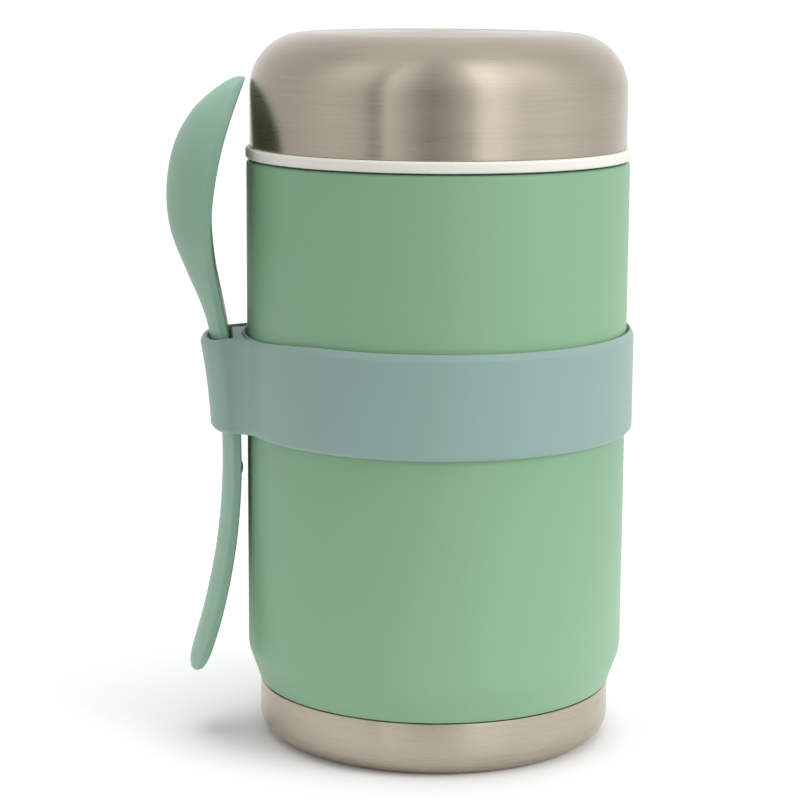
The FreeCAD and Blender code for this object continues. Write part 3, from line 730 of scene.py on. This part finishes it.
# %% Cap liner with its pale ring and thread
skirt_wall = 1.6
skirt_outer = pad_high.x
skirt = skirt_outer - skirt_wall
flange_low = body_top + 0.4
cap_liner = turned("cap_liner_ring", [
    (0, ring_high.z - skirt_wall),
    (skirt, ring_high.z - skirt_wall, 1.2),
    (skirt, pad_high.z, 0.3),
    (skirt_outer, pad_high.z, 0.3),
    (skirt_outer, flange_low, 0.3),
    (ring_high.x, flange_low, 0.6),
    (ring_high.x, cap_low.z, 0.6),
    (skirt_outer, cap_low.z, 0.2),
    (skirt_outer, ring_high.z - skirt_wall, 0.6),
    (skirt, ring_high.z, 0.6),
    (0, ring_high.z),
])
dress(cap_liner, "white_plastic", "cap", "cap_liner")
cap_thread = thread(
    "cap_thread", skirt, skirt - 0.9, cap_thread_start + LEAD / 2, OUTER_RIDGE)
dress(cap_thread, "white_plastic", "cap", "cap_liner")

# %% Cap gasket
cap_seal = turned("cap_seal", [
    (skirt + 0.2, pad_low.z, 0.25),
    (skirt_outer, pad_low.z, 0.25),
    (skirt_outer, pad_high.z, 0.25),
    (skirt + 0.2, pad_high.z, 0.25),
])
dress(cap_seal, "clear_silicone", "cap_lift", "cap_gasket")

# %% [markdown]
# ## The soft band
# The band is moulded in silicone: a plain ring, and a pocket wall that leaves the ring, runs
# round the spoon's handle and comes back. Both walls have rounded rims that meet in a small
# valley. Each wall is a row of upright sections, one section for every station along it, and
# bridging the sections gives one clean skin.

# %% The arc that the spoon's handle follows
handle_inner = 153.3
spine_radius = 152.9
stand_off = 1.9
arc_x = -(body_radius + stand_off + spine_radius)
arc_z = body_top - 69.95
handle_thick = 4.5
handle_half = 10.0
slot_gap = 0.35
slot_half = handle_half + slot_gap
print("centre of the handle's arc in mm:", round(arc_x, 2), round(arc_z, 2))


def arc_point(radius, angle):
    """A point (x, z) in the plane y = 0 about the arc's centre, angle in radians."""
    return arc_x + radius * math.cos(angle), arc_z + radius * math.sin(angle)


def arc_at_height(radius, z):
    """Where an arc of this radius lies at this height."""
    return arc_x + math.sqrt(radius * radius - (z - arc_z) ** 2)


# %% Skin over a row of sections
def section_loop(bm, points):
    """A closed wire through points in millimetres; gives its edges."""
    verts = [bm.verts.new(Vector(point) * MM) for point in points]
    return [bm.edges.new((verts[index - 1], vert)) for index, vert in enumerate(verts)]


def skin(bm, sections, closed_row):
    """Bridge each section to the next one, and fill the two ends of an open row."""
    loops = [section_loop(bm, section) for section in sections]
    pairs = list(zip(loops, loops[1:]))
    if closed_row:
        pairs.append((loops[-1], loops[0]))
    for first, second in pairs:
        bmesh.ops.bridge_loops(bm, edges=first + second)
    if not closed_row:
        bmesh.ops.edgeloop_fill(bm, edges=loops[0])
        bmesh.ops.edgeloop_fill(bm, edges=loops[-1])


# %% Gentle steps and soft corners
def ease(share):
    """A smooth step from 0 to 1."""
    share = max(0.0, min(1.0, share))
    return share * share * (3 - 2 * share)


def soften(points, at, trim):
    """Replace one corner by a short curve that leaves and joins its two sides."""
    corner = points[at]
    start, stop = (
        corner.lerp(side, min(0.45, trim / max((side - corner).length, 1e-6)))
        for side in (points[at - 1], points[(at + 1) % len(points)]))
    curve = []
    for step in range(6):
        t = step / 5
        curve.append(start * (1 - t) ** 2 + corner * 2 * t * (1 - t) + stop * t * t)
    return curve


# %% Upright section of a soft wall
def wall_section(low, high, width, lean_in, lean_out, crease, rows=12):
    """Points (side, shift, z) round an upright wall whose rim leans in from a crease.

    Side 0 is the inner face and side 1 the outer one; shift is measured from that face.
    """
    corners = [
        (0.25, low), (width - 0.6, low), (width, low + 0.8), (width, high - crease),
        (width - lean_out, high), (lean_in, high), (0.0, high - crease), (0.0, low + 0.4),
    ]
    corners = [Vector(corner) for corner in corners]
    points = []
    for index, corner in enumerate(corners):
        points += soften(corners, index, 0.3)
        if index in (2, 6):
            after = corners[(index + 1) % len(corners)]
            points += [corner.lerp(after, step / rows) for step in range(1, rows)]
    return [(0, a, z) if a < width / 2 else (1, a - width, z) for a, z in points]


# %% Plain ring of the band
band_bottom, band_top = band_low.z, band_high.z - 0.15
ring_thick = 1.6
ring_lean = 0.7
ring_crease = 1.5
ring_dip = 1.3
DIP_STARTS, DIP_LENGTH = 52, 34
print("band from", round(band_bottom, 2), "to", round(band_top, 2))


def ring_wall(bm):
    """The plain ring all the way round; its rim dips towards the pocket."""
    sections = []
    count = 256
    for step in range(count):
        turn = math.tau * step / count
        away = math.degrees(abs(turn - math.pi))
        high = band_top - ring_dip * ease((DIP_STARTS - away) / DIP_LENGTH)
        section = []
        for side, shift, z in wall_section(
                band_bottom, high, ring_thick, 0.55, ring_lean, ring_crease):
            radius = (band_inner if side == 0 else band_outer) + shift
            section.append((radius * math.cos(turn), radius * math.sin(turn), z))
        sections.append(section)
    skin(bm, sections, True)


# %% Plan of the pocket wall
pocket_wall = 2.2
end_bow = 2.9
pocket_blend = 6.0
blend_steps = 12
root_thick = 1.5
root_sunk = 0.06
pocket_side = slot_half + pocket_wall
handle_back = handle_inner - handle_thick - slot_gap
print("half width of the pocket in mm:", round(pocket_side, 2))


def pocket_plan(z):
    """Pairs of outer and inner plan points along the pocket wall at one height."""
    slot_end = arc_at_height(handle_back, z)
    centre_y = pocket_side + pocket_blend
    centre_x = -math.sqrt((band_outer + pocket_blend) ** 2 - centre_y ** 2)
    first = math.atan2(-centre_y, -centre_x)
    outer = []
    inner = []
    for step in range(blend_steps + 1):
        share = step / blend_steps
        turn = first + (-math.pi / 2 - first) * share
        sunk = pocket_blend + root_sunk * (1 - share) ** 2
        deep = pocket_blend + root_thick + (pocket_wall - root_thick) * share
        outer.append((centre_x + sunk * math.cos(turn), centre_y + sunk * math.sin(turn)))
        inner.append((centre_x + deep * math.cos(turn), centre_y + deep * math.sin(turn)))
    corner_x = slot_end + end_bow
    for step in range(1, 4):
        x = centre_x + (corner_x - centre_x) * step / 4
        outer.append((x, pocket_side))
        inner.append((x, slot_half))
    for step in range(25):
        turn = math.pi / 2 * (1 + step / 24)
        across, along = math.cos(turn), math.sin(turn)
        outer.append((corner_x + (end_bow + pocket_wall) * across, pocket_side * along))
        inner.append((corner_x + end_bow * across, slot_half * along))
    half = list(zip(outer, inner))
    other = [((a[0], -a[1]), (b[0], -b[1])) for a, b in half[:-1]]
    return half + other[::-1]


# %% Pocket wall
root_dip = ring_dip + 0.04
end_dip = 0.76


def rim_height(x):
    """The pocket's rim falls away a little from the ring to its outer end."""
    far = arc_at_height(handle_back, band_top) - pocket_wall
    share = (-band_outer - x) / (-band_outer - far)
    return band_top - root_dip - end_dip * ease(share)


def pocket_skin(bm):
    """The wall that runs round the spoon's handle and starts with the ring's own section."""
    top_plan = pocket_plan(band_top)
    sections = []
    for index, pair in enumerate(top_plan):
        high = rim_height(pair[0][0])
        free = ease(min(index, len(top_plan) - 1 - index) / blend_steps)
        lean = ring_lean + 0.25 * free
        crease = ring_crease - 0.1 * free
        section = []
        for side, shift, z in wall_section(
                band_bottom, high, pocket_wall, 0.35, lean, crease):
            outside, inside = (Vector(point) for point in pocket_plan(z)[index])
            across = (outside - inside).normalized()
            place = (inside if side == 0 else outside) + across * shift
            section.append((place.x, place.y, z))
        sections.append(section)
    skin(bm, sections, False)


print("rim of the pocket's end in mm:", round(band_top - root_dip - end_dip, 2))


# %% Filling of the pocket
pad_overlap = 0.6
pad_least = 0.9
pad_top = band_top - 1.9


def pocket_pad(bm):
    """The filling between the ring and the handle, which carries the slot's inner face."""
    sections = []
    steps = 16
    pad_half = slot_half + pad_overlap
    for step in range(steps + 1):
        y = -pad_half + 2 * pad_half * step / steps
        base = -math.sqrt((band_inner + 0.5) ** 2 - y * y)
        section = []
        for side, shift, z in wall_section(band_bottom + 0.2, pad_top, 2.0, 0.2, 0.4, 0.6):
            face = arc_at_height(handle_inner + slot_gap, z)
            x = (base if side == 0 else min(face, base - pad_least)) - shift
            section.append((x, y, z))
        sections.append(section)
    skin(bm, sections, False)


# %% Build the band
bm = bmesh.new()
ring_wall(bm)
pocket_skin(bm)
pocket_pad(bm)
soft_band = finish_mesh("soft_band", bm, sharp=50.0)
dress(soft_band, "band_silicone", "band", "band")

# %% [markdown]
# ## The spoon
# The spoon is one moulding. Its section changes from a bowed strip at the handle to a deep
# crescent at the bowl, so it is drawn as sections on a curved spine: every station gives the
# half width, the depth of the back, the depth of the hollow and the tilt. A smooth curve
# through the stations gives the sections between them.

# %% Stations along the spoon
handle_low = -math.radians(20.6)
handle_high = math.radians(11.6)
bowl_half = 17.5
bowl_deep = 11.2
bowl_arc = 80.0
tilt_low = -math.radians(16.2)
tilt_high = math.radians(26.0)
handle_length = handle_inner * (handle_high - handle_low)
bowl_length = bowl_arc * (tilt_high - tilt_low)
print("length along the spoon in mm:", round(handle_length + bowl_length, 1))

# Rows of HANDLE_SHAPE: share of the length, of the width and of the depth.
HANDLE_SHAPE = [
    (0.000, 0.03, 0.04), (0.004, 0.22, 0.26), (0.012, 0.40, 0.48), (0.030, 0.62, 0.75),
    (0.060, 0.79, 0.91), (0.090, 0.88, 0.97), (0.200, 0.98, 1.00), (0.350, 1.00, 1.00),
    (0.500, 1.00, 1.00), (0.650, 1.00, 1.00), (0.800, 1.00, 1.00), (1.000, 1.00, 1.00),
]
# Rows of BOWL_SHAPE: the same three, then the wall, a shift outwards and a lift, in mm.
BOWL_SHAPE = [
    (0.12, 0.58, 0.47, 4.8, 0.8, 0.0), (0.25, 0.71, 0.63, 3.8, 0.4, 0.0),
    (0.40, 0.90, 0.87, 2.4, 0.0, 0.0), (0.55, 0.99, 0.99, 2.0, 0.0, 0.0),
    (0.70, 0.97, 0.97, 2.0, 0.0, 0.0), (0.82, 0.85, 0.80, 2.0, 0.0, 0.1),
    (0.90, 0.66, 0.57, 2.0, 0.0, 0.25), (0.95, 0.48, 0.38, 1.9, 0.0, 0.45),
    (0.98, 0.29, 0.24, 1.6, 0.0, 0.6), (0.995, 0.13, 0.13, 1.2, 0.0, 0.7),
    (1.00, 0.03, 0.05, 0.6, 0.0, 0.75),
]


# %% Stations placed on the two arcs
def spoon_stations():
    """Length along the spine, x, z, tilt, half width, depth, hollow depth and rim width."""
    rows = []
    for share, width, depth in HANDLE_SHAPE:
        angle = handle_low + share * (handle_high - handle_low)
        x, z = arc_point(handle_inner - handle_thick * (1 - depth) / 2, angle)
        rows.append((
            share * handle_length, x, z, -angle,
            handle_half * width, handle_thick * depth, 0.0, 3.0))
    neck_x, neck_z = arc_point(spine_radius, handle_high)
    for share, width, depth, wall, shift, lift in BOWL_SHAPE:
        tilt = tilt_low + share * (tilt_high - tilt_low)
        x = neck_x + shift - (math.cos(tilt) - math.cos(tilt_low)) * bowl_arc
        z = neck_z + lift + (math.sin(tilt) - math.sin(tilt_low)) * bowl_arc
        back = bowl_deep * depth
        hollow = max(0.0, back - wall)
        rows.append((
            handle_length + share * bowl_length, x, z, tilt,
            bowl_half * width, back, hollow, wall))
    return rows


# %% Smooth curve through the stations
def between(rows, at):
    """A smooth curve through the rows at this length."""
    index = max(i for i in range(len(rows) - 1) if rows[i][0] <= at or i == 0)
    first, second = rows[index], rows[index + 1]
    before = rows[max(index - 1, 0)]
    after = rows[min(index + 2, len(rows) - 1)]
    gap = second[0] - first[0]
    t = (at - first[0]) / gap
    result = []
    for p, a, b, q in zip(before[1:], first[1:], second[1:], after[1:]):
        slope_a = (b - p) / (second[0] - before[0]) * gap
        slope_b = (q - a) / (after[0] - first[0]) * gap
        if a == b:
            slope_a = slope_b = 0.0
        result.append(
            a * (2 * t**3 - 3 * t**2 + 1) + slope_a * (t**3 - 2 * t**2 + t)
            + b * (3 * t**2 - 2 * t**3) + slope_b * (t**3 - t**2))
    return result


# %% Section of the spoon
def bow(half, deep, count):
    """Points of a bow over a chord, from one end to the other."""
    deep = max(deep, 0.002)
    radius = (half * half + deep * deep) / (2 * deep)
    reach = math.asin(min(1.0, half / radius))
    points = []
    for step in range(count + 1):
        turn = -reach + 2 * reach * step / count
        points.append(Vector((radius * math.sin(turn), radius * math.cos(turn) - radius + deep)))
    return points


def spoon_outline(half, back, hollow, rim_width):
    """Closed section: a side strip, the bowed back, the other strip, and the hollow."""
    strip = min(1.9, back * 0.42)
    lip = min(rim_width, half * 0.45)
    outer = [point + Vector((0, strip)) for point in bow(half, back - strip, 28)]
    inner = bow(half - lip, hollow, 20)[::-1]
    points = [Vector((-half, 0))] + outer + [Vector((half, 0))] + inner
    last = len(outer)
    ends = {0: 0.5, 1: 0.3, last: 0.3, last + 1: 0.5, last + 2: 0.5, len(points) - 1: 0.5}
    result = []
    for index, point in enumerate(points):
        if index in ends:
            result += soften(points, index, ends[index])
        else:
            result.append(point)
    return result


# %% Build the spoon
def make_spoon(steps=150):
    """Sections along the whole spine, closer together near both ends."""
    rows = spoon_stations()
    whole = rows[-1][0]
    sections = []
    for step in range(steps + 1):
        mark = whole * (1 - math.cos(math.pi * step / steps)) / 2
        x, z, tilt, half, back, hollow, rim_width = between(rows, min(mark, whole - 1e-6))
        out_x, out_z = -math.cos(tilt), math.sin(tilt)
        outline = spoon_outline(max(half, 0.2), max(back, 0.12), max(hollow, 0.0), rim_width)
        sections.append([
            (x + out_x * point.y, point.x, z + out_z * point.y) for point in outline])
    bm = bmesh.new()
    skin(bm, sections, False)
    return finish_mesh("spoon_body", bm, sharp=75.0)


spoon_piece = make_spoon()
dress(spoon_piece, "green_plastic", "spoon", "spoon")

# %% [markdown]
# The handle has a small raised catch below the band. A sphere pressed flat and sunk into the
# handle gives its soft outline with less work than a change to the sections.

# %% Catch on the handle
catch_size = Vector((0.8, 3.9, 1.7))
catch_x, catch_z = arc_point(handle_inner - 0.35, -math.radians(1.3))
bm = bmesh.new()
bmesh.ops.create_uvsphere(bm, u_segments=32, v_segments=20, radius=1.0)
bmesh.ops.scale(bm, vec=catch_size * MM, verts=bm.verts)
bmesh.ops.translate(bm, vec=(catch_x * MM, 0, catch_z * MM), verts=bm.verts)
catch = finish_mesh("spoon_catch", bm)
dress(catch, "green_plastic", "spoon", "spoon")

# %% [markdown]
# ## Camera, light and floor
# The camera stands where the photograph was taken from: low, close and a little to the left.
# A pale floor and a white surround keep the picture clean, and steel needs something dark to
# reflect, so glossy rays see a studio with two dark panels beside the lens.

# %% Camera
lens_data = bpy.data.cameras.new("camera")
lens_data.lens = 110.07
lens_data.sensor_width = 36.0
camera = bpy.data.objects.new("camera", lens_data)
bpy.context.scene.collection.objects.link(camera)
side_turn = math.radians(5.0)
cosine, sine = math.cos(side_turn), math.sin(side_turn)
distance = 0.57583
eye_height = 0.18504
camera.location = (-distance * sine, -distance * cosine, eye_height)
heading = Matrix.Rotation(-math.radians(4.144), 4, "Z")
dip = Matrix.Rotation(math.radians(90 - 10.304), 4, "X")
lean = Matrix.Rotation(math.radians(0.326), 4, "Z")
camera.rotation_euler = (heading @ dip @ lean).to_euler()
bpy.context.scene.camera = camera
print("camera at", [round(value, 3) for value in camera.location])

# %% Plain colour rendering
bpy.context.scene.view_settings.view_transform = "Standard"
bpy.context.scene.view_settings.look = "None"
print("view transform:", bpy.context.scene.view_settings.view_transform)


# %% Soft lamps
def lamp(name, place, aim, width, height, power):
    """A soft rectangular lamp that points at a place."""
    data = bpy.data.lights.new(name, "AREA")
    data.shape = "RECTANGLE"
    data.size = width
    data.size_y = height
    data.energy = power
    rig = bpy.data.objects.new(name, data)
    bpy.context.scene.collection.objects.link(rig)
    rig.location = place
    rig.rotation_euler = (Vector(place) - Vector(aim)).to_track_quat("Z", "Y").to_euler()
    rig.visible_glossy = False
    print(name, "lamp of", power, "W")


lamp("key_right", (0.95, -0.55, 0.55), (0, 0, 0.09), 0.7, 0.9, 9.0)
lamp("fill_left", (-0.9, -0.6, 0.35), (0, 0, 0.09), 0.5, 0.8, 1.6)
lamp("top", (0.0, 0.1, 1.1), (0, 0, 0.1), 0.9, 0.9, 8.0)

# %% Studio panels round the jar, for glossy rays
world = bpy.data.worlds.new("studio")
bpy.context.scene.world = world
world.use_nodes = True
tree = world.node_tree
tree.nodes.clear()
output = add(tree, "ShaderNodeOutputWorld")
parts = add(tree, "ShaderNodeSeparateXYZ")
tree.links.new(add(tree, "ShaderNodeTexCoord").outputs["Generated"], parts.inputs[0])
dx, dy, dz = parts.outputs


def turned_axis(across, along):
    """A level direction that turns with the camera."""
    first = maths(tree, "MULTIPLY", dx, across)
    return maths(tree, "ADD", first, maths(tree, "MULTIPLY", dy, along))


to_right = turned_axis(cosine, -sine)
to_lens = turned_axis(-sine, -cosine)
around = maths(tree, "ARCTAN2", to_right, to_lens)
share = maths(tree, "ADD", maths(tree, "DIVIDE", around, math.tau), 0.5)
panels = add(tree, "ShaderNodeValToRGB")
tree.links.new(share, panels.inputs[0])
STUDIO = [
    (0.00, 1.1), (0.13, 0.75), (0.22, 0.72), (0.31, 0.85), (0.375, 0.78), (0.391, 0.25),
    (0.402, 0.25), (0.411, 1.35), (0.423, 0.95), (0.45, 0.66), (0.482, 0.36), (0.50, 0.40),
    (0.528, 0.58), (0.556, 0.80), (0.575, 1.55), (0.605, 1.45), (0.645, 1.05), (0.72, 1.10),
    (0.82, 0.90), (1.00, 1.1),
]
ramp = panels.color_ramp
ramp.interpolation = "LINEAR"
while len(ramp.elements) < len(STUDIO):
    ramp.elements.new(0.5)
for element, (position, level) in zip(ramp.elements, STUDIO):
    element.position = position
    element.color = (level, level, level, 1)
print("stops round the studio:", len(ramp.elements))

# %% Brighter studio above, for the cap's crown
rise = clamp(tree, maths(tree, "MULTIPLY", maths(tree, "SUBTRACT", dz, 0.1), 1.7))
front = clamp(tree, maths(tree, "MULTIPLY", to_lens, 3.0))
lifted = maths(tree, "MULTIPLY", maths(tree, "MULTIPLY", rise, front), 0.5)
gain = maths(tree, "ADD", lifted, 1.0)
high = clamp(tree, maths(tree, "MULTIPLY", maths(tree, "SUBTRACT", dz, 0.84), 8.0))
stronger = add(tree, "ShaderNodeVectorMath", operation="SCALE")
tree.links.new(panels.outputs[0], stronger.inputs[0])
tree.links.new(gain, stronger.inputs["Scale"])
above = add(tree, "ShaderNodeMix", data_type="RGBA")
tree.links.new(high, above.inputs["Factor"])
tree.links.new(stronger.outputs[0], above.inputs[6])
above.inputs[7].default_value = (0.92, 0.92, 0.94, 1)
print("the studio has", len(tree.nodes), "nodes so far")

# %% White for the camera, soft light for the rest
path = add(tree, "ShaderNodeLightPath")
plain = maths(tree, "MAXIMUM", path.outputs["Is Camera Ray"], path.outputs["Is Transmission Ray"])
paper = {"Color": (1, 1, 1, 1)}
white = add(tree, "ShaderNodeBackground", inputs={**paper, "Strength": 1.1})
ambient = add(tree, "ShaderNodeBackground", inputs={**paper, "Strength": 0.53})
studio = add(tree, "ShaderNodeBackground")
tree.links.new(above.outputs[2], studio.inputs["Color"])


def mix_shaders(tree, factor, first, second):
    """Blend two shaders by a factor."""
    mix = add(tree, "ShaderNodeMixShader")
    for index, socket in enumerate((factor, first, second)):
        tree.links.new(socket, mix.inputs[index])
    return mix.outputs[0]


reflected = mix_shaders(tree, path.outputs["Is Glossy Ray"], ambient.outputs[0], studio.outputs[0])
seen = mix_shaders(tree, plain, reflected, white.outputs[0])
tree.links.new(seen, output.inputs["Surface"])
print("the studio has", len(tree.nodes), "nodes")


# %% Pale floor that fades into the surround
def make_floor():
    """A disc of matt paper that is clear from 0.30 m outwards."""
    bm = bmesh.new()
    bmesh.ops.create_circle(bm, cap_ends=True, segments=96, radius=0.6)
    floor = new_object("floor", bm)
    material = bpy.data.materials.new("floor_paper")
    material.use_nodes = True
    nodes = material.node_tree
    shader = nodes.nodes["Principled BSDF"]
    shader.inputs["Roughness"].default_value = 0.9
    shader.inputs["Specular IOR Level"].default_value = 0.1
    place = add(nodes, "ShaderNodeTexCoord").outputs["Object"]
    fibre = add(nodes, "ShaderNodeTexNoise", inputs={"Scale": 300.0, "Detail": 4.0})
    nodes.links.new(place, fibre.inputs["Vector"])
    tone = add(nodes, "ShaderNodeMix", data_type="RGBA")
    tone.inputs[6].default_value = (0.96, 0.96, 0.96, 1)
    tone.inputs[7].default_value = (0.985, 0.985, 0.985, 1)
    nodes.links.new(fibre.outputs["Fac"], tone.inputs["Factor"])
    nodes.links.new(tone.outputs[2], shader.inputs["Base Color"])
    length = add(nodes, "ShaderNodeVectorMath", operation="LENGTH")
    nodes.links.new(place, length.inputs[0])
    fade = add(nodes, "ShaderNodeMapRange", interpolation_type="SMOOTHSTEP",
               inputs={"From Min": 0.10, "From Max": 0.30})
    nodes.links.new(length.outputs["Value"], fade.inputs["Value"])
    clear = add(nodes, "ShaderNodeBsdfTransparent")
    target = next(node for node in nodes.nodes if node.type == "OUTPUT_MATERIAL")
    faded = mix_shaders(nodes, fade.outputs["Result"], shader.outputs[0], clear.outputs[0])
    nodes.links.new(faded, target.inputs["Surface"])
    floor.data.materials.append(material)
    print("floor disc of 1.2 m")


make_floor()
